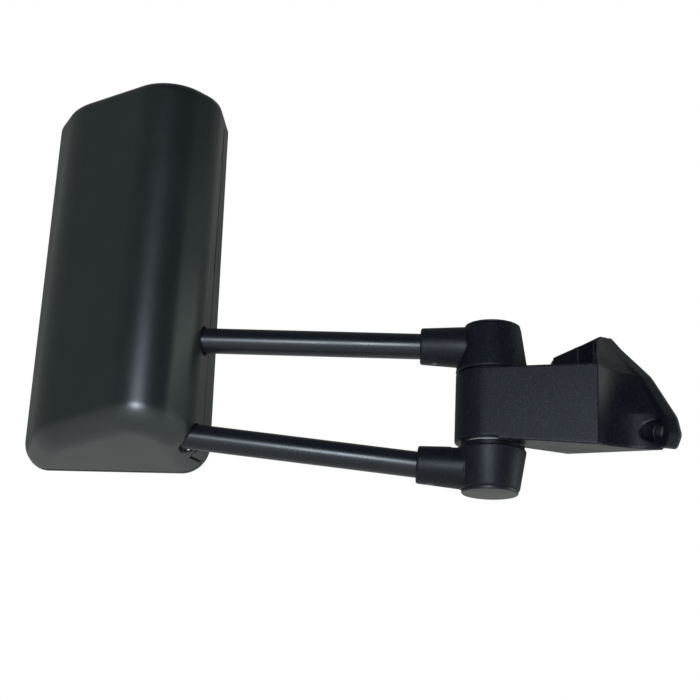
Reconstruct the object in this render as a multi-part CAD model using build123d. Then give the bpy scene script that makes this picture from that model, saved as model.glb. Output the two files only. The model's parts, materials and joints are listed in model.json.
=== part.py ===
from build123d import *
from math import degrees, radians, tan
import os

# Towing mirror. Millimetres, +Z up, +X towards the vehicle, +Y to the rear of the vehicle.
# The origin lies on the mounting face, level with the middle of the hinge and in line with its axis.

# ---------------------------------------------------------------- layout
PIVOT_X = -98.3          # hinge axis, outboard of the mounting face
ARM_YAW = 26.6           # tubes point outboard and this many degrees to the rear
HEAD_YAW = 30.0          # rim of the head, measured the same way
REACH = 228.0            # from hinge axis to the inboard end of the rim, along the tubes
RIM_BEHIND_TUBES = 34.7  # rim plane behind the tubes, at that end
TUBE_Z = 49.4            # tube axes above and below the middle of the hinge
LOWER_RISE = 5.27        # degrees that the lower tube climbs towards the head

# ---------------------------------------------------------------- mount bracket
PLATE_X = -10.0          # outer face of the door plate
BLOCK_CORNER = (-51.0, -74.0)      # sharp front corner of the block
BLOCK_FRONT = (-115.6, -21.4)      # where the front face leaves the barrel
BLOCK_REAR = (-82.0, 22.3)         # where the rear side leaves it
HORN_REAR_Y = 38.0
BLOCK_LOW = -40.0
UNDERSIDE = [(-51.0, -74.0, -35.1), (-107.0, -28.4, -29.0), (-10.0, 38.0, -14.5)]
CORE_PLAN = [
    (0.0, -62.0), (-30.0, -62.0), (-50.0, -58.0), (-62.0, -46.0), (-62.0, 14.0), (-30.0, 25.0), (0.0, 25.0),
]
CORE_LOW = -15.0         # the casting is cored out from the mounting face
CORE_HIGH = 20.0
COVE_DEPTH = 0.23        # of the cove, as a share of its width
LOW_LEVELS = [(BLOCK_LOW, -89.0), (-8.0, -86.0), (26.6, -63.0)]          # height, and where the cove ends
HIGH_LEVELS = [
    (25.6, BLOCK_CORNER, -63.0), (36.0, (-47.5, -65.0), -53.0), (71.0, (-13.0, -18.0), -16.0),
]                        # height, front corner, and where the cove ends
GUSSET_NOSE = (-39.0, -28.0)
GUSSET_RECESS = (-24.0, -29.0)
GUSSET_SIDE = (-46.0, -3.0)
GUSSET_REAR_Y = 25.0
PLATE_TOP = 71.0
PLATE_REAR = 64.0
PLATE_OUTLINE = [
    (-103.0, -27.5), (-97.0, -36.5), (-52.0, -25.0), (-10.0, -16.5), (28.0, -10.0), (PLATE_REAR, -10.0),
    (PLATE_REAR, PLATE_TOP), (-15.0, PLATE_TOP), (-29.0, 57.5), (-68.0, 24.5), (-98.5, -13.5),
]
PLATE_CORNER_R = [5, 5, 60, 60, 40, 12, 12, 8, 60, 50, 16]
SCREW_HOLE_R = 4.5
SCREW_HEAD_R = 8.0
SCREW_SEAT_X = -6.0
SCREW_PLACES = [(-85.7, -21.8), (52.0, 4.0), (50.0, 58.0)]
GASKET_T = 1.5

# ---------------------------------------------------------------- tubes
TUBE_R = 10.0
TUBE_WALL = 2.0
TUBE_START = 24.5        # from the hinge axis, at the bottom of the socket
TUBE_END = 272.0
CLAMP_START = 236.0      # the clamps that hold the head, from the hinge axis
CLAMP_END = 268.0
CLAMP_HALF = 15.0
CLAMP_SPLIT = 0.4        # gap between saddle and clamp
RUN = 0.05               # radial clearance of a running fit

# ---------------------------------------------------------------- hinge
BARREL_R = 27.5
BARREL_HALF = 26.6
KNUCKLE_R = 28.1         # at the barrel end
KNUCKLE_TAPER = 0.162    # radius lost per millimetre of height
KNUCKLE_TOP = 64.9       # far end of the upper knuckle
LOW_KNUCKLE_TOP = 62.7   # far end of the lower one
KNUCKLE_EDGE = 1.0
SOCKET_START = 20.0      # from the hinge axis
SOCKET_MOUTH = 55.5
SOCKET_MOUTH_R = 14.2
SOCKET_ROOT_R = 16.2
PIVOT_R = 8.0
PIVOT_BUSH_R = 11.0
BUSH_FLANGE_R = 20.0
BUSH_FLANGE_T = 1.0
COLLAR_R = 22.5
COLLAR_T = 4.0
CAP_EDGE_T = 1.2
CAP_DOME = 1.6
BOLT_END = 59.0
BOLT_HEAD_T = 10.0
NUT_FLATS = 24.0
NUT_T = 9.0
WASHER_T = 2.0
DISC_SPRINGS = 4
DISC_R = 13.8
DISC_PITCH = 1.5
LUG_YAW = 25.0
LUG_W = 6.0
LUG_T = 3.0
LUG_REACH = 25.5
LUG_DROP = 3.0
GAP = 0.1                # between flat faces that turn on each other
FOLD_REAR = 60.0         # degrees from the driving position
FOLD_FRONT = 75.0
POCKET_R = 14.5
POCKET_FLOOR = 42.0
CAP_PLUG_R = 18.0
CAP_SEAT = 3.0           # depth of the cap's plug in the knuckle
CAP_RIM_R = 21.4
LOW_CAP_T = 2.3
GRUB_AT = 44.0           # along the tube, from the hinge axis
GRUB_R = 3.0

# ---------------------------------------------------------------- head
HEAD_BOTTOM = -50.5
HEAD_TOP = 255.5
BOTTOM_SLOPE = 12.5      # the underside climbs from the rim towards the ridge
TOP_SLOPE = 1.5
LOW_EDGE_R = 22.0
HIGH_EDGE_R = 8.0
WALL = 3.0
FLANGE_Y = -22.0         # the bezel's side flange starts here, and the shell is cut back
FLANGE_LOW = -41.0
FLANGE_HIGH = 241.0
FLANGE_X = -12.0
SEAM = 0.4               # gap between shell and bezel
RIM_T = 2.5
RIM_EDGE_R = 1.5
PLATE_Y = -26.0          # rear face of the head frame's plate
PLATE_T = 3.0

HEAD_PLAN = [(-120.7, -45.0), (-25.1, -96.0), (5.2, -50.8)]   # level outline of the casing's back
HEAD_PLAN_R = [24, 60, 36, 35]
LOW_SIDES = (-143.0, 9.5)    # outboard and inboard edge of the rim, at the bottom
HIGH_SIDES = (-147.0, 0.5)   # and at the top
SIDE_DEPTH = -7.0
RIM_CUT_Y = 12.0         # the form runs on past the rim before it is cut
HOLE_PLAY = 1.2          # tube holes in the casing, radial
HOLE_DROP = 0.8
SCREW_R = 1.75
POST_R = 4.5
SHELL_SCREWS = [(-108.0, 222.0), (-26.0, 222.0), (-108.0, 95.0), (-26.0, 95.0), (-108.0, -8.0)]
BEZEL_SCREWS = [(-118.0, 67.0), (-86.0, 67.0), (-54.0, 67.0)]
CLAMP_SCREW_UP = 13.0
CLAMP_SCREW_APART = 9.0
CLAMP_SEAT = 6.0

# ---------------------------------------------------------------- glasses
APERTURE_X = (-134.5, -6.5)
MAIN_Z = (72.0, 246.0)
WIDE_Z = (-43.0, 62.0)
APERTURE_R = 14.0
GLASS_GAP = 4.0
GLASS_T = 3.0
GLASS_Y = -3.0           # rear face of both glasses
CARRIER_T = 2.5
GIMBAL_Y = -15.5
GIMBAL_R = 12.0
TRUNNION_R = 1.75
WIDE_GLASS_CURVE = 600.0
WIDE_BULGE = 4.6
GIMBAL_T = 6.0
PIN_END = 17.0
EAR_AT = 15.2
EAR_T = 3.4
EAR_R = 3.2
BASE_HALF_W = 6.0
BASE_T = 2.5
BASE_HALF_H = 26.0
BASE_SCREW_AT = 21.5
LIP_T = 1.5
LIP_DROP = 0.6

ARM = Location((PIVOT_X, 0, 0), (0, 0, -ARM_YAW))
HEAD = ARM * Location((-REACH, RIM_BEHIND_TUBES, 0), (0, 0, ARM_YAW - HEAD_YAW))
UPPER_AXIS = ARM * Location((0, 0, TUBE_Z), (0, -90, 0))
LOWER_AXIS = ARM * Location((0, 0, -TUBE_Z), (0, LOWER_RISE - 90, 0))
BARREL_AXIS = Location((PIVOT_X, 0, 0))


def rod(radius, start, end):
    """A cylinder along +Z between two heights."""
    return Pos(0, 0, start) * Cylinder(radius, end - start, align=(Align.CENTER, Align.CENTER, Align.MIN))


def ring(outer, inner, start, end):
    return rod(outer, start, end) - rod(inner, start - 1, end + 1)


def hexagon(across_flats, start, end):
    outline = RegularPolygon(across_flats / 2, 6, major_radius=False)
    return Pos(0, 0, start) * extrude(outline, end - start)


def block(low, high):
    """A box between two corners."""
    size = [b - a for a, b in zip(low, high)]
    centre = [(a + b) / 2 for a, b in zip(low, high)]
    return Pos(*centre) * Box(*size)


def across(location):
    """Turns a rod along +Z to lie along +Y from the given point."""
    return location * Rot(-90, 0, 0)


def write(name, *solids):
    """Exports one node; separate pieces of one kind share it."""
    pieces = []
    for item in solids:
        pieces.extend(item.solids())
    node = pieces[0] if len(pieces) == 1 else Compound(children=pieces)
    export_step(node, f"parts/{name}.step")


# ================================================================ mount bracket
def bracket_slice(z, corner, rim_y, tail):
    """One level of the casting: a concave cove runs from a sharp corner out to the door plate."""
    x, y = corner
    inner = PLATE_X + 4
    depth = COVE_DEPTH * ((PLATE_X - x) ** 2 + (rim_y - y) ** 2) ** 0.5
    sag = ((x + PLATE_X) / 2 + 0.87 * depth, (y + rim_y) / 2 + 0.5 * depth)
    cove = ThreePointArc(corner, sag, (PLATE_X, rim_y))
    rest = Polyline((PLATE_X, rim_y), (inner, rim_y), *tail, corner)
    return Pos(0, 0, z) * make_face(cove + rest)


def underside_normal():
    """Points down, away from the plane through the three points of the underside."""
    first, second, third = (Vector(*point) for point in UNDERSIDE)
    return (second - first).cross(third - first)


def mount_bracket():
    outline = FilletPolyline(*PLATE_OUTLINE, radius=PLATE_CORNER_R, close=True)
    plate = Pos(-GASKET_T, 0, 0) * extrude(Plane.YZ * make_face(outline), PLATE_X + GASKET_T)

    block_tail = [(PLATE_X + 4, HORN_REAR_Y), (PLATE_X, HORN_REAR_Y), BLOCK_REAR, BLOCK_FRONT]
    low = loft([bracket_slice(z, BLOCK_CORNER, rim, block_tail) for z, rim in LOW_LEVELS], ruled=True)

    gusset_tail = [(PLATE_X + 4, GUSSET_REAR_Y), (PLATE_X, GUSSET_REAR_Y), GUSSET_SIDE, GUSSET_NOSE, GUSSET_RECESS]
    high = loft([bracket_slice(z, corner, rim, gusset_tail) for z, corner, rim in HIGH_LEVELS], ruled=True)
    top_cut = Location((PLATE_X, 0, PLATE_TOP - 3), (0, -27, 0)) * block((-120, -120, 0), (20, 120, 80))
    high -= top_cut

    along_underside = Vector(*UNDERSIDE[1]) - Vector(*UNDERSIDE[0])
    underside = Plane(UNDERSIDE[0], x_dir=along_underside, z_dir=underside_normal())
    low -= underside * block((-300, -300, 0), (300, 300, 60))

    low -= Pos(0, 0, CORE_LOW) * extrude(make_face(Polyline(*CORE_PLAN, close=True)), CORE_HIGH - CORE_LOW)

    barrel = BARREL_AXIS * rod(BARREL_R, -BARREL_HALF, BARREL_HALF)
    casting = low + barrel + high + plate
    core_mouth = CORE_PLAN[0][1], CORE_PLAN[-1][1]
    casting -= block((-30, min(core_mouth), CORE_LOW), (1, max(core_mouth), CORE_HIGH))
    casting -= BARREL_AXIS * rod(PIVOT_BUSH_R, -BARREL_HALF - 20, BARREL_HALF + 20)
    casting -= BARREL_AXIS * rod(BARREL_R + 1.2, -BARREL_HALF - 20, -BARREL_HALF)
    for y, z in SCREW_PLACES:
        along_x = Location((0, y, z), (0, -90, 0))
        casting -= along_x * rod(SCREW_HOLE_R, -1, 60)
        casting -= along_x * rod(SCREW_HEAD_R, -SCREW_SEAT_X, 30)
    return casting


def mount_gasket():
    outline = FilletPolyline(*PLATE_OUTLINE, radius=PLATE_CORNER_R, close=True)
    pad = extrude(Plane.YZ * make_face(outline), -GASKET_T)
    for y, z in SCREW_PLACES:
        pad -= Location((0, y, z), (0, -90, 0)) * rod(SCREW_HOLE_R + 0.5, -1, GASKET_T + 1)
    return pad


# ================================================================ hinge
def pivot_bush(side):
    """Flanged bush pressed into one end of the barrel."""
    flange_end = BARREL_HALF + BUSH_FLANGE_T
    body = ring(PIVOT_BUSH_R, PIVOT_R + RUN, 4.0, BARREL_HALF)
    flange = ring(BUSH_FLANGE_R, PIVOT_R + RUN, BARREL_HALF, flange_end)
    bush = body + flange
    return BARREL_AXIS * (bush if side > 0 else Rot(180, 0, 0) * bush)


def stop_collar():
    """Narrow collar under the barrel; its lug limits the fold."""
    top = -BARREL_HALF - BUSH_FLANGE_T
    collar = ring(COLLAR_R, PIVOT_R + 1, top - COLLAR_T, top)
    lug = block((COLLAR_R - 2, -LUG_W / 2, top - COLLAR_T), (LUG_REACH, LUG_W / 2, top))
    finger = block((LUG_REACH - LUG_T, -LUG_W / 2, top - COLLAR_T - LUG_DROP), (LUG_REACH, LUG_W / 2, top))
    return BARREL_AXIS * Rot(0, 0, -LUG_YAW) * (collar + lug + finger)


def knuckle(tilt, start, top):
    """Tapered knuckle above the barrel; its tube dips by tilt and the socket's outside by half as much."""
    axis = Location((0, 0, TUBE_Z), (0, -90 - tilt, 0))
    mouth = axis * Pos(0, 0, SOCKET_MOUTH)
    outside = mouth * Rot(0, tilt / 2, 0) * Pos(0, 0, SOCKET_START - SOCKET_MOUTH)
    root_r = KNUCKLE_R - KNUCKLE_TAPER * (start - BARREL_HALF)
    top_r = KNUCKLE_R - KNUCKLE_TAPER * (top - BARREL_HALF)
    cone = Cone(root_r, top_r, top - start, align=(Align.CENTER, Align.CENTER, Align.MIN))
    cone = chamfer(cone.edges().filter_by(GeomType.CIRCLE), KNUCKLE_EDGE)
    grip = SOCKET_MOUTH - SOCKET_START
    socket = Cone(SOCKET_ROOT_R, SOCKET_MOUTH_R, grip, align=(Align.CENTER, Align.CENTER, Align.MIN))
    socket = chamfer(socket.edges().filter_by(GeomType.CIRCLE).sort_by(Axis.Z)[-1], 1.0)
    body = Pos(0, 0, start) * cone + outside * socket
    body -= axis * rod(TUBE_R, TUBE_START, SOCKET_MOUTH + 1)
    body -= axis * rod(TUBE_R + 1.2, SOCKET_MOUTH - 2.0, SOCKET_MOUTH + 1)
    body -= rod(PIVOT_R, 0, top + 1)
    body -= rod(POCKET_R, POCKET_FLOOR, top + 1)
    body -= rod(CAP_PLUG_R, top - CAP_SEAT, top + 1)
    body -= rod(top_r + 1, top, top + 9)
    body -= rod(KNUCKLE_R + 2, start - 9, start)
    return body


def grub_screw(axis, side):
    """Screw from the underside into the tube socket; side is +1 where local +X points down."""
    return axis * Pos(0, 0, GRUB_AT) * Rot(0, 90 * side, 0) * rod(GRUB_R, TUBE_R, TUBE_R + 4.0)


def grub_hole(axis, side):
    return axis * Pos(0, 0, GRUB_AT) * Rot(0, 90 * side, 0) * rod(GRUB_R, TUBE_R - 1, TUBE_R + 9)


def upper_knuckle():
    body = ARM * knuckle(0, BARREL_HALF + BUSH_FLANGE_T + GAP, KNUCKLE_TOP)
    return body - grub_hole(UPPER_AXIS, -1)


def lower_knuckle():
    """The same knuckle turned over, with a curved slot for the collar's lug."""
    start = BARREL_HALF + BUSH_FLANGE_T + COLLAR_T + GAP
    body = ARM * Rot(180, 0, 0) * knuckle(LOWER_RISE, start, LOW_KNUCKLE_TOP)
    margin = degrees(LUG_W / 2 / (LUG_REACH - LUG_T)) + 1.5
    slot_inner = LUG_REACH - LUG_T - 0.5
    section = Pos(slot_inner + 2, -start - LUG_DROP / 2, 0) * Rectangle(LUG_T + 1.0, LUG_DROP + 1.4)
    slot = revolve(Plane.XZ * section, Axis.Z, FOLD_REAR + FOLD_FRONT + 2 * margin)
    body -= BARREL_AXIS * Rot(0, 0, -LUG_YAW - FOLD_FRONT - margin) * slot
    return body - grub_hole(LOWER_AXIS, -1)


def upper_knuckle_cap():
    """Domed cap over the top of the upper knuckle, held by its plug."""
    plug = rod(CAP_PLUG_R, KNUCKLE_TOP - CAP_SEAT, KNUCKLE_TOP)
    dome_r = (CAP_RIM_R ** 2 + CAP_DOME ** 2) / (2 * CAP_DOME)
    top = KNUCKLE_TOP + CAP_EDGE_T + CAP_DOME
    dome = Pos(0, 0, top - dome_r) * Sphere(dome_r) & rod(CAP_RIM_R, KNUCKLE_TOP, top + 1)
    return ARM * (plug + dome)


def lower_knuckle_cap():
    """Flat disc under the lower knuckle, held by its plug."""
    disc = rod(CAP_RIM_R, LOW_KNUCKLE_TOP, LOW_KNUCKLE_TOP + LOW_CAP_T)
    disc = chamfer(disc.edges().sort_by(Axis.Z)[-1], 0.6)
    plug = rod(CAP_PLUG_R, LOW_KNUCKLE_TOP - CAP_SEAT, LOW_KNUCKLE_TOP)
    return ARM * Rot(180, 0, 0) * (disc + plug)


def pivot_bolt():
    """Bolt through both knuckles; its head lies in the upper pocket."""
    shank = rod(PIVOT_R, -BOLT_END, POCKET_FLOOR)
    shank = chamfer(shank.edges().filter_by(GeomType.CIRCLE).sort_by(Axis.Z)[0], 1.0)
    return ARM * (shank + hexagon(NUT_FLATS, POCKET_FLOOR, POCKET_FLOOR + BOLT_HEAD_T))


def disc_springs():
    """Two pairs of conical springs under the nut, one solid each."""
    springs = []
    for index in range(DISC_SPRINGS):
        low = Circle(DISC_R) if index % 2 == 0 else Circle(DISC_R - 2.2)
        high = Circle(DISC_R - 2.2) if index % 2 == 0 else Circle(DISC_R)
        start = POCKET_FLOOR + index * DISC_PITCH
        disc = loft([Pos(0, 0, start) * low, Pos(0, 0, start + DISC_PITCH - 0.2) * high])
        springs.append(ARM * Rot(180, 0, 0) * (disc - rod(PIVOT_R + 0.3, 0, 80)))
    return springs


def pivot_washer():
    start = POCKET_FLOOR + DISC_SPRINGS * DISC_PITCH
    return ARM * Rot(180, 0, 0) * ring(POCKET_R - 0.8, PIVOT_R + 0.3, start, start + WASHER_T)


def pivot_nut():
    start = POCKET_FLOOR + DISC_SPRINGS * DISC_PITCH + WASHER_T
    nut = hexagon(NUT_FLATS, start, start + NUT_T) - rod(PIVOT_R, start - 1, start + NUT_T + 1)
    return ARM * Rot(180, 0, 0) * nut


# ================================================================ tubes
def tube(axis):
    return axis * ring(TUBE_R, TUBE_R - TUBE_WALL, TUBE_START, TUBE_END)


# ================================================================ head casing
def head_plan(sides, inset):
    """Level section of the head, with its rim edges at the given places."""
    outboard, inboard = sides
    start = (outboard, RIM_CUT_Y)
    last = HEAD_PLAN[-1]
    end = (last[0] + (inboard - last[0]) * (RIM_CUT_Y - last[1]) / -last[1], RIM_CUT_Y)
    route = FilletPolyline(start, (outboard, SIDE_DEPTH), *HEAD_PLAN, end, radius=HEAD_PLAN_R)
    plan = make_face(route + Line(route @ 1, route @ 0))
    return offset(plan, -inset) if inset > 0 else plan


def head_solid(inset):
    """The head's rounded form, shrunk by inset and running on behind the rim."""
    low = Pos(0, 0, HEAD_BOTTOM - 10) * head_plan(LOW_SIDES, inset)
    high = Pos(0, 0, HEAD_TOP + 10) * head_plan(HIGH_SIDES, inset)
    body = loft([low, high], ruled=True)
    below = block((-200, -200, -90), (100, 90, inset))
    above = block((-200, -200, -inset), (100, 90, 90))
    body -= Location((0, 0, HEAD_BOTTOM), (-BOTTOM_SLOPE, 0, 0)) * below
    body -= Location((0, 0, HEAD_TOP), (TOP_SLOPE, 0, 0)) * above
    for place, radius in ((0, LOW_EDGE_R), (-1, HIGH_EDGE_R)):
        face = body.faces().sort_by(Axis.Z)[place]
        edges = [edge for edge in face.edges() if edge.center().Y < RIM_CUT_Y - inset - 0.5]
        body = fillet(edges, radius - inset)
    return body


def rear_shell():
    """Outer casing, open at the rim, with a cut-back side that lets it pass over the tubes."""
    shell = head_solid(0) - head_solid(WALL)
    shell -= block((-200, -RIM_T - SEAM, -100), (100, 50, 300))
    shell -= block((FLANGE_X, FLANGE_Y, FLANGE_LOW), (40, 20, FLANGE_HIGH))
    posts = []
    for x, z in SHELL_SCREWS:
        posts.append(across(Location((x, -90, z))) * rod(POST_R, 0, 90 + PLATE_Y - PLATE_T))
    shell += head_solid(1.0) & (Part() + posts)
    for x, z in SHELL_SCREWS:
        shell -= across(Location((x, PLATE_Y - PLATE_T - 12, z))) * rod(SCREW_R, 0, 30)
    shell = HEAD * shell
    shell -= UPPER_AXIS * rod(TUBE_R + HOLE_PLAY, 200, TUBE_END)
    shell -= Pos(0, 0, -HOLE_DROP) * LOWER_AXIS * rod(TUBE_R + HOLE_PLAY, 200, TUBE_END)
    return shell


def aperture(low_z, high_z, grow):
    """A rounded opening in the plane of the rim, as a solid along Y."""
    width = APERTURE_X[1] - APERTURE_X[0] + 2 * grow
    height = high_z - low_z + 2 * grow
    outline = RectangleRounded(width, height, APERTURE_R + grow)
    centre = Location(((APERTURE_X[0] + APERTURE_X[1]) / 2, 0, (low_z + high_z) / 2), (90, 0, 0))
    return centre * extrude(outline, 30, both=True)


def front_bezel():
    """Rim with two openings, a skirt inside the shell and a deep flange on the side of the tubes."""
    form = head_solid(0)
    rim = form & block((-200, -RIM_T, -100), (100, 0, 300))
    rim = fillet(rim.faces().sort_by(Axis.Y)[-1].edges(), RIM_EDGE_R)
    skirt = head_solid(WALL + 0.2) - head_solid(WALL + 2.2)
    skirt &= block((-200, -10, -100), (FLANGE_X, -RIM_T, 300))
    flange = form - head_solid(WALL)
    flange_low = (FLANGE_X + SEAM, FLANGE_Y + SEAM, FLANGE_LOW + SEAM)
    flange &= block(flange_low, (40, -RIM_T, FLANGE_HIGH - SEAM))
    bezel = rim + skirt + flange
    bezel -= aperture(*MAIN_Z, 0)
    bezel -= aperture(*WIDE_Z, 0)
    for x, z in BEZEL_SCREWS:
        post = across(Location((x, PLATE_Y, z))) * rod(POST_R, 0, -PLATE_Y - 1)
        bezel += post - across(Location((x, PLATE_Y - 1, z))) * rod(SCREW_R, 0, 14)
    bezel = HEAD * bezel
    for axis in (UPPER_AXIS, LOWER_AXIS):
        bezel -= axis * rod(TUBE_R + HOLE_PLAY, 200, TUBE_END)
    return bezel


# ================================================================ inside the head
def clamp_block(centre_z, near_y, far_y):
    low = (-CLAMP_END, near_y, centre_z - CLAMP_HALF)
    return block(low, (-CLAMP_START, far_y, centre_z + CLAMP_HALF))


def lower_centre():
    middle = (CLAMP_START + CLAMP_END) / 2
    return middle * tan(radians(LOWER_RISE)) - TUBE_Z


def head_frame():
    """Moulded carrier across the head, with a saddle for each tube."""
    plate = head_solid(WALL + 0.6) & block((-200, PLATE_Y - PLATE_T, -100), (100, PLATE_Y, 300))
    for x, z in BEZEL_SCREWS + SHELL_SCREWS + base_screw_places(MAIN_Z) + base_screw_places(WIDE_Z):
        plate -= across(Location((x, PLATE_Y - 10, z))) * rod(SCREW_R, 0, 20)
    frame = HEAD * plate
    room = HEAD * (head_solid(WALL + 0.6) & block((-200, -90, -100), (100, PLATE_Y + 1.5, 300)))
    for centre_z in (TUBE_Z, lower_centre()):
        saddle = ARM * clamp_block(centre_z, CLAMP_SPLIT, 16)
        frame += saddle & room
    for axis in (UPPER_AXIS, LOWER_AXIS):
        frame -= axis * rod(TUBE_R, 200, CLAMP_END)
        frame -= axis * rod(TUBE_R + 0.6, CLAMP_END, TUBE_END + 1)
    for place in clamp_screw_places():
        frame -= place * rod(SCREW_R, 0, 12)
    return frame


def clamp_screw_places():
    """Where the clamp screws enter the saddles: two above each tube, pointing rearward."""
    middle = -(CLAMP_START + CLAMP_END) / 2
    places = []
    for centre_z in (TUBE_Z, lower_centre()):
        for side in (-1, 1):
            place = Location((middle + side * CLAMP_SCREW_APART, 0, centre_z + CLAMP_SCREW_UP))
            places.append(across(ARM * place))
    return places


def tube_clamps():
    """One clamp over the front of each tube."""
    clamps = []
    for axis, centre_z in ((UPPER_AXIS, TUBE_Z), (LOWER_AXIS, lower_centre())):
        clamp = ARM * clamp_block(centre_z, -CLAMP_HALF, -CLAMP_SPLIT)
        clamp &= HEAD * head_solid(WALL + 0.3)
        clamp -= axis * rod(TUBE_R, 200, TUBE_END + 1)
        for place in clamp_screw_places():
            clamp -= place * rod(SCREW_R, -40, 5)
            clamp -= place * rod(SCREW_R + 1.6, -40, -CLAMP_SEAT)
        clamps.append(clamp)
    return clamps


def clamp_screws():
    screws = []
    for place in clamp_screw_places():
        head = rod(SCREW_R + 1.4, -CLAMP_SEAT - 2.5, -CLAMP_SEAT)
        screws.append(place * (rod(SCREW_R, -CLAMP_SEAT, 8) + head))
    return screws


def plate_screws(places, seat_y, direction, length):
    """Pan-head screws through the frame's plate, along Y."""
    screws = []
    for x, z in places:
        turned = 0 if direction > 0 else 180
        place = HEAD * Location((x, seat_y, z)) * Rot(turned, 0, 0) * Rot(-90, 0, 0)
        screws.append(place * (rod(SCREW_R, 0, length) + rod(SCREW_R + 1.5, -2.0, 0)))
    return screws


# ================================================================ adjustable glasses
def glass_centre(low_z, high_z):
    return Location(((APERTURE_X[0] + APERTURE_X[1]) / 2, GIMBAL_Y, (low_z + high_z) / 2))


def base_screw_places(span):
    """The two screws of a pivot base, above and below the middle of its glass."""
    middle_x = sum(APERTURE_X) / 2
    middle_z = sum(span) / 2
    return [(middle_x, middle_z - BASE_SCREW_AT), (middle_x, middle_z + BASE_SCREW_AT)]


def pivot_base(centre):
    """Bar on the frame's plate with an ear above and below the gimbal ring."""
    floor = PLATE_Y - GIMBAL_Y
    bar = block((-BASE_HALF_W, floor, -BASE_HALF_H), (BASE_HALF_W, floor + BASE_T, BASE_HALF_H))
    for side in (-1, 1):
        ear = block((-EAR_R, floor, side * EAR_AT - EAR_T / 2), (EAR_R, 0, side * EAR_AT + EAR_T / 2))
        ear += Pos(0, 0, side * EAR_AT) * rod(EAR_R, -EAR_T / 2, EAR_T / 2)
        bar += ear
        bar -= across(Location((0, floor - 1, side * BASE_SCREW_AT))) * rod(SCREW_R, 0, 5)
    bar -= rod(TRUNNION_R + RUN, -BASE_HALF_H, BASE_HALF_H)
    return HEAD * centre * bar


def gimbal_ring(centre):
    """Ring with two upright pins that turn in the base and two level pins that carry the glass."""
    body = across(Location((0, -GIMBAL_T / 2, 0))) * ring(GIMBAL_R, GIMBAL_R - 4, 0, GIMBAL_T)
    pins = rod(TRUNNION_R, -PIN_END, PIN_END) - rod(TRUNNION_R + 1, 4 - GIMBAL_R, GIMBAL_R - 4)
    return HEAD * centre * (body + pins + Rot(0, 90, 0) * pins)


def glass_plate(low_z, high_z, near_y, far_y):
    """Rounded plate with a constant gap to its aperture."""
    slab = block((-300, near_y, -200), (100, far_y, 400))
    return aperture(low_z, high_z, -GLASS_GAP) & slab


def glass_carrier(low_z, high_z, centre):
    """Backing plate with a raised lip and two ears for the level pins."""
    back = GLASS_Y - GLASS_T - CARRIER_T
    plate = glass_plate(low_z, high_z, back, GLASS_Y - LIP_DROP)
    recess = block((-300, GLASS_Y - GLASS_T, -200), (100, 9, 400))
    plate -= aperture(low_z, high_z, -GLASS_GAP - LIP_T) & recess
    floor = back - GIMBAL_Y
    ears = Part()
    for side in (-1, 1):
        low_x = side * EAR_AT - EAR_T / 2
        high_x = side * EAR_AT + EAR_T / 2
        ears += block((low_x, 0, -EAR_R), (high_x, floor + 0.5, EAR_R))
        ears += Pos(side * EAR_AT, 0, 0) * Rot(0, 90, 0) * rod(EAR_R, -EAR_T / 2, EAR_T / 2)
    ears -= Rot(0, 90, 0) * rod(TRUNNION_R + RUN, -PIN_END - 2, PIN_END + 2)
    return HEAD * (plate + centre * ears)


def main_glass():
    slab = block((-300, GLASS_Y - GLASS_T, -200), (100, GLASS_Y, 400))
    return HEAD * (aperture(*MAIN_Z, -GLASS_GAP - LIP_T) & slab)


def wide_glass():
    """Convex glass: a slab whose rear face bulges."""
    slab = block((-300, GLASS_Y - GLASS_T, -200), (100, GLASS_Y + 6, 400))
    blank = aperture(*WIDE_Z, -GLASS_GAP - LIP_T) & slab
    centre_x = (APERTURE_X[0] + APERTURE_X[1]) / 2
    centre_z = (WIDE_Z[0] + WIDE_Z[1]) / 2
    ball = Pos(centre_x, GLASS_Y + WIDE_BULGE - WIDE_GLASS_CURVE, centre_z) * Sphere(WIDE_GLASS_CURVE)
    return HEAD * (blank & ball)


os.makedirs("parts", exist_ok=True)

write("mount_bracket", mount_bracket())
write("mount_gasket", mount_gasket())
write("upper_pivot_bush", pivot_bush(1))
write("lower_pivot_bush", pivot_bush(-1))
write("stop_collar", stop_collar())

write("upper_knuckle", upper_knuckle())
write("lower_knuckle", lower_knuckle())
write("upper_knuckle_cap", upper_knuckle_cap())
write("lower_knuckle_cap", lower_knuckle_cap())
write("pivot_bolt", pivot_bolt())
write("disc_springs", *disc_springs())
write("pivot_washer", pivot_washer())
write("pivot_nut", pivot_nut())
write("upper_tube", tube(UPPER_AXIS))
write("lower_tube", tube(LOWER_AXIS))
write("socket_grub_screws", grub_screw(UPPER_AXIS, -1), grub_screw(LOWER_AXIS, -1))

write("rear_shell", rear_shell())
write("front_bezel", front_bezel())
write("head_frame", head_frame())
write("tube_clamps", *tube_clamps())
write("clamp_screws", *clamp_screws())
write("shell_screws", *plate_screws(SHELL_SCREWS, PLATE_Y, -1, 12))
write("bezel_screws", *plate_screws(BEZEL_SCREWS, PLATE_Y - PLATE_T, 1, 12))

base_screws = []
for name, span in (("main", MAIN_Z), ("wide", WIDE_Z)):
    centre = glass_centre(*span)
    write(f"{name}_pivot_base", pivot_base(centre))
    write(f"{name}_gimbal_ring", gimbal_ring(centre))
    write(f"{name}_glass_carrier", glass_carrier(*span, centre))
    base_screws.extend(plate_screws(base_screw_places(span), PLATE_Y + BASE_T, -1, 5.5))
write("pivot_base_screws", *base_screws)
write("main_glass", main_glass())
write("wide_glass", wide_glass())
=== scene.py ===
import json
from math import radians

import bpy
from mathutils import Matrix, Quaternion, Vector


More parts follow.
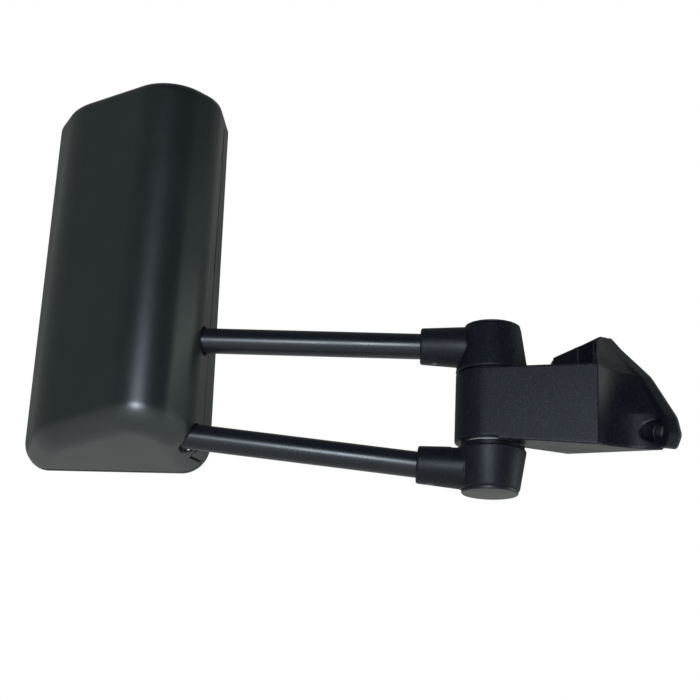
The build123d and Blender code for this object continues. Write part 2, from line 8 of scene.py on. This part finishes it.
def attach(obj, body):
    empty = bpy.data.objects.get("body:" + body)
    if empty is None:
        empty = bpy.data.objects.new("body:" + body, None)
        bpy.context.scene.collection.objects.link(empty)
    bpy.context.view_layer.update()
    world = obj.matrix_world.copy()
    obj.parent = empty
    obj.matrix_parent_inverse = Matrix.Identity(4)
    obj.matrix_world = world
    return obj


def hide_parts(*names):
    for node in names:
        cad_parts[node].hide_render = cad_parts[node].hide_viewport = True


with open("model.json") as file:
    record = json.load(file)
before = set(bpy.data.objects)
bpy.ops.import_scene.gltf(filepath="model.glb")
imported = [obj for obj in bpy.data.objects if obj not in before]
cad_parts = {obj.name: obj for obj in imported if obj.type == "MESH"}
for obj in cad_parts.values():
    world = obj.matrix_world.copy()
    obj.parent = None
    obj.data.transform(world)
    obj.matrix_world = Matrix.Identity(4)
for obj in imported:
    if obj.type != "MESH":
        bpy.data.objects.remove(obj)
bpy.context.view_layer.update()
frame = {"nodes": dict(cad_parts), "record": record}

NODES = frame["nodes"]

# ---------------------------------------------------------------- sizes and strengths
# Places and sizes are in metres, in the frame's own axes.
CAMERA_AT = (-0.5580, -0.8435, -0.2615)
CAMERA_AIM = (-0.1935, 0.0575, 0.0479)
CAMERA_ROLL = 2.94       # degrees
CAMERA_LENS = 66.73      # mm, and so is the width of the sensor
SENSOR_WIDTH = 36.0

FLOOR_MIDDLE = (-0.2, 0.1, -0.46)
FLOOR_SIZE = 60
FLOOR_SQUARES = 24
FLOOR_COLOUR = (0.80, 0.81, 0.79)
FLOOR_GLOW = 0.60

ROOM_COLOUR = (0.93, 1.0, 0.95)
ROOM_DARK = 0.01         # strength of the room in front of the object
ROOM_BRIGHT = 0.25       # and behind it
ROOM_DARK_TO = -0.95     # a direction's Y, from which the room brightens
ROOM_BRIGHT_FROM = 0.35  # and where it has brightened fully

KEY_PLACE = (-0.90, -1.12, -0.06)
KEY_AIM = (-0.30, 0.05, 0.02)
KEY_SIZE = (0.26, 0.26)
KEY_POWER = 19           # watts
KEY_COLOUR = (0.78, 0.87, 1.0)
SIDE_PLACE = (0.75, -0.35, 0.05)
SIDE_AIM = (-0.25, 0.05, 0.0)
SIDE_SIZE = (0.5, 0.7)
SIDE_POWER = 3.6
SIDE_COLOUR = (0.90, 1.0, 0.95)

BROAD_SCALE = 18.0       # scale of the slow drift that every finish has
BROAD_LOW = 0.3          # the broad noise mostly lies between these two
BROAD_HIGH = 0.7
FLAKE_GLINT_STARTS = 0.60      # how high the fine noise is where a painted flake glint begins to show
FLAKE_GLINT_FULL = 0.74
GRAIN_HEIGHT = 0.0002    # of the relief, before its strength
# Painted flake glints: lighter, bluish specks in the base colour of the coatings, standing in for the
# sparkle of their flakes.
COATING_FLAKE_GLINT = (0.045, 0.055, 0.080)
MOULDED_FLAKE_GLINT = (0.020, 0.024, 0.032)

SMOOTH_FACTOR = 0.5      # how far each smoothing round moves a point
BRACKET_VOXEL = 0.0008
KNUCKLE_VOXEL = 0.0006
SHELL_VOXEL = 0.0011
CAST_ROUNDS = 5
SHELL_ROUNDS = 8


# ---------------------------------------------------------------- camera, room and lights
def place_towards(obj, place, aim):
    """Puts a camera or light at a place, looking along its own -Z at the aim."""
    obj.location = place
    obj.rotation_mode = "QUATERNION"
    obj.rotation_quaternion = (Vector(aim) - Vector(place)).to_track_quat("-Z", "Y")


def add_camera():
    """The camera, at the outboard side of the mirror, a little below it and in front of it."""
    data = bpy.data.cameras.new("camera")
    data.lens = CAMERA_LENS
    data.sensor_width = SENSOR_WIDTH
    camera = bpy.data.objects.new("camera", data)
    bpy.context.scene.collection.objects.link(camera)
    place_towards(camera, CAMERA_AT, CAMERA_AIM)
    camera.rotation_quaternion @= Quaternion((0, 0, 1), radians(CAMERA_ROLL))
    bpy.context.scene.camera = camera


def add_light(name, place, aim, size, power, colour):
    """A soft rectangular light."""
    data = bpy.data.lights.new(name, "AREA")
    data.shape = "RECTANGLE"
    data.size, data.size_y = size
    data.energy = power
    data.color = colour
    light = bpy.data.objects.new(name, data)
    bpy.context.scene.collection.objects.link(light)
    place_towards(light, place, aim)


def add_room():
    """A white studio: plain white as a backdrop, and dimmer towards the front in reflections."""
    world = bpy.data.worlds.new("studio")
    world.use_nodes = True
    tree = world.node_tree
    tree.nodes.clear()
    direction = tree.nodes.new("ShaderNodeTexCoord")
    parts = tree.nodes.new("ShaderNodeSeparateXYZ")
    ramp = tree.nodes.new("ShaderNodeMapRange")
    ramp.interpolation_type = "SMOOTHSTEP"
    ramp.inputs["From Min"].default_value = ROOM_DARK_TO
    ramp.inputs["From Max"].default_value = ROOM_BRIGHT_FROM
    ramp.inputs["To Min"].default_value = ROOM_DARK
    ramp.inputs["To Max"].default_value = ROOM_BRIGHT
    room = tree.nodes.new("ShaderNodeBackground")
    room.inputs["Color"].default_value = (*ROOM_COLOUR, 1)
    backdrop = tree.nodes.new("ShaderNodeBackground")
    backdrop.inputs["Color"].default_value = (1, 1, 1, 1)
    backdrop.inputs["Strength"].default_value = 1.0
    path = tree.nodes.new("ShaderNodeLightPath")
    mix = tree.nodes.new("ShaderNodeMixShader")
    output = tree.nodes.new("ShaderNodeOutputWorld")
    tree.links.new(direction.outputs["Generated"], parts.inputs["Vector"])
    tree.links.new(parts.outputs["Y"], ramp.inputs["Value"])
    tree.links.new(ramp.outputs["Result"], room.inputs["Strength"])
    tree.links.new(path.outputs["Is Camera Ray"], mix.inputs["Fac"])
    tree.links.new(room.outputs["Background"], mix.inputs[1])
    tree.links.new(backdrop.outputs["Background"], mix.inputs[2])
    tree.links.new(mix.outputs["Shader"], output.inputs["Surface"])
    bpy.context.scene.world = world
    bpy.context.scene.view_settings.view_transform = "Standard"


def add_floor():
    """A wide pale floor, well below the mirror, that glows a little as a lit studio floor does."""
    bpy.ops.mesh.primitive_grid_add(x_subdivisions=FLOOR_SQUARES, y_subdivisions=FLOOR_SQUARES,
                                    size=FLOOR_SIZE, location=FLOOR_MIDDLE)
    floor = bpy.context.object
    floor.name = "floor"
    material = surface("floor", FLOOR_COLOUR, 0.85, grain=40, bump=0.02, spots=0.03)
    shader = material.node_tree.nodes["Principled BSDF"]
    shader.inputs["Emission Color"].default_value = (*FLOOR_COLOUR, 1)
    shader.inputs["Emission Strength"].default_value = FLOOR_GLOW
    floor.data.materials.append(material)


# ---------------------------------------------------------------- materials
def noise(tree, coords, scale, detail):
    """Noise in the object's own space."""
    node = tree.nodes.new("ShaderNodeTexNoise")
    node.inputs["Scale"].default_value = scale
    node.inputs["Detail"].default_value = detail
    tree.links.new(coords.outputs["Object"], node.inputs["Vector"])
    return node


def add_painted_flake_glints(tree, fine, colour_out, flake_glint):
    """Painted flake glints: small lighter specks in the base colour, where the fine noise is at its
    highest.
    """
    glint_mask = tree.nodes.new("ShaderNodeMapRange")
    glint_mask.inputs["From Min"].default_value = FLAKE_GLINT_STARTS
    glint_mask.inputs["From Max"].default_value = FLAKE_GLINT_FULL
    tree.links.new(fine.outputs["Fac"], glint_mask.inputs["Value"])
    glint = tree.nodes.new("ShaderNodeMix")
    glint.data_type = "RGBA"
    glint.inputs["B"].default_value = (*flake_glint, 1)
    tree.links.new(glint_mask.outputs["Result"], glint.inputs["Factor"])
    tree.links.new(colour_out, glint.inputs["A"])
    return glint.outputs["Result"]


def surface(name, colour, roughness, grain, bump, spots,
            metallic=0.0, flake_glint=None, drift=0.06, specular=0.5):
    """A finish with a fine grain in its relief, painted flake glints in its colour, and a slow drift
    of its tone and gloss.

    grain is the grain's scale and bump its strength; spots and drift are how far the tone and the
    roughness vary.
    """
    material = bpy.data.materials.new(name)
    material.use_nodes = True
    tree = material.node_tree
    shader = tree.nodes["Principled BSDF"]
    shader.inputs["Metallic"].default_value = metallic
    shader.inputs["Specular IOR Level"].default_value = specular
    coords = tree.nodes.new("ShaderNodeTexCoord")
    fine = noise(tree, coords, grain, detail=3.0)
    broad = noise(tree, coords, BROAD_SCALE, detail=4.0)

    tone = tree.nodes.new("ShaderNodeMix")
    tone.data_type = "RGBA"
    tone.inputs["A"].default_value = (*(channel * (1 - spots) for channel in colour), 1)
    tone.inputs["B"].default_value = (*(min(1.0, channel * (1 + spots)) for channel in colour), 1)
    tree.links.new(broad.outputs["Fac"], tone.inputs["Factor"])
    colour_out = tone.outputs["Result"]
    # painted flake glints: lighter specks mixed into the base colour
    if flake_glint:
        colour_out = add_painted_flake_glints(tree, fine, colour_out, flake_glint)
    tree.links.new(colour_out, shader.inputs["Base Color"])

    gloss = tree.nodes.new("ShaderNodeMapRange")
    gloss.inputs["From Min"].default_value = BROAD_LOW
    gloss.inputs["From Max"].default_value = BROAD_HIGH
    gloss.inputs["To Min"].default_value = roughness - drift
    gloss.inputs["To Max"].default_value = min(1.0, roughness + drift)
    tree.links.new(broad.outputs["Fac"], gloss.inputs["Value"])
    tree.links.new(gloss.outputs["Result"], shader.inputs["Roughness"])

    relief = tree.nodes.new("ShaderNodeBump")
    relief.inputs["Strength"].default_value = bump
    relief.inputs["Distance"].default_value = GRAIN_HEIGHT
    tree.links.new(fine.outputs["Fac"], relief.inputs["Height"])
    tree.links.new(relief.outputs["Normal"], shader.inputs["Normal"])
    return material


def make_finishes():
    """One material for every slot of the record."""
    return {
        "cast_black": surface("cast_black", (0.0025, 0.0032, 0.0050), 0.42, 1700, 0.6, 0.15,
                              flake_glint=COATING_FLAKE_GLINT, specular=0.15),
        "tube_black": surface("tube_black", (0.0030, 0.0042, 0.006), 0.29, 2300, 0.3, 0.10,
                              flake_glint=COATING_FLAKE_GLINT, specular=0.3),
        "cap_black": surface("cap_black", (0.006, 0.007, 0.009), 0.40, 1500, 0.25, 0.10, specular=0.3),
        "screw_black": surface("screw_black", (0.008, 0.008, 0.009), 0.35, 2500, 0.2, 0.2),
        "shell_black": surface("shell_black", (0.006, 0.0085, 0.0085), 0.33, 2100, 0.32, 0.12,
                               flake_glint=MOULDED_FLAKE_GLINT, drift=0.03),
        "bezel_black": surface("bezel_black", (0.009, 0.011, 0.011), 0.40, 1500, 0.4, 0.10),
        "frame_plastic": surface("frame_plastic", (0.045, 0.046, 0.048), 0.55, 900, 0.4, 0.12),
        "bush_plastic": surface("bush_plastic", (0.70, 0.69, 0.64), 0.45, 700, 0.15, 0.05),
        "gasket_rubber": surface("gasket_rubber", (0.022, 0.022, 0.023), 0.75, 800, 0.6, 0.15),
        "zinc_steel": surface("zinc_steel", (0.55, 0.56, 0.55), 0.32, 1800, 0.25, 0.08, metallic=1.0),
        "mirror_glass": surface("mirror_glass", (0.86, 0.88, 0.89), 0.03, 60, 0.004, 0.01,
                                metallic=1.0, drift=0.01),
    }


def finish_cad_nodes():
    """Gives every CAD node the finish of its slot in the record."""
    for part in frame["record"]["subparts"]:
        materials = NODES[part["node"]].data.materials
        materials.clear()
        materials.append(finishes[part["material_slot"]])


# ---------------------------------------------------------------- castings and shell
def soften(node, body, slot, voxel, rounds):
    """A copy of a cast or moulded piece with its edges rounded and its inner corners blended."""
    source = NODES[node]
    piece = bpy.data.objects.new(f"{node}_smoothed", source.data.copy())
    bpy.context.scene.collection.objects.link(piece)
    remesh = piece.modifiers.new("remesh", "REMESH")
    remesh.mode = "VOXEL"
    remesh.voxel_size = voxel
    smooth = piece.modifiers.new("smooth", "SMOOTH")
    smooth.factor = SMOOTH_FACTOR
    smooth.iterations = rounds
    graph = bpy.context.evaluated_depsgraph_get()
    mesh = bpy.data.meshes.new_from_object(piece.evaluated_get(graph))
    piece.modifiers.clear()
    piece.data = mesh
    mesh.materials.clear()
    mesh.materials.append(finishes[slot])
    for face in mesh.polygons:
        face.use_smooth = True
    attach(piece, body)
    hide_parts(node)


add_camera()
add_room()
add_floor()
finishes = make_finishes()
finish_cad_nodes()

soften("mount_bracket", "bracket", "cast_black", BRACKET_VOXEL, CAST_ROUNDS)
for knuckle in ("upper_knuckle", "lower_knuckle"):
    soften(knuckle, "arm", "cast_black", KNUCKLE_VOXEL, CAST_ROUNDS)
soften("rear_shell", "arm", "shell_black", SHELL_VOXEL, SHELL_ROUNDS)

add_light("key", KEY_PLACE, KEY_AIM, KEY_SIZE, KEY_POWER, KEY_COLOUR)
add_light("side", SIDE_PLACE, SIDE_AIM, SIDE_SIZE, SIDE_POWER, SIDE_COLOUR)
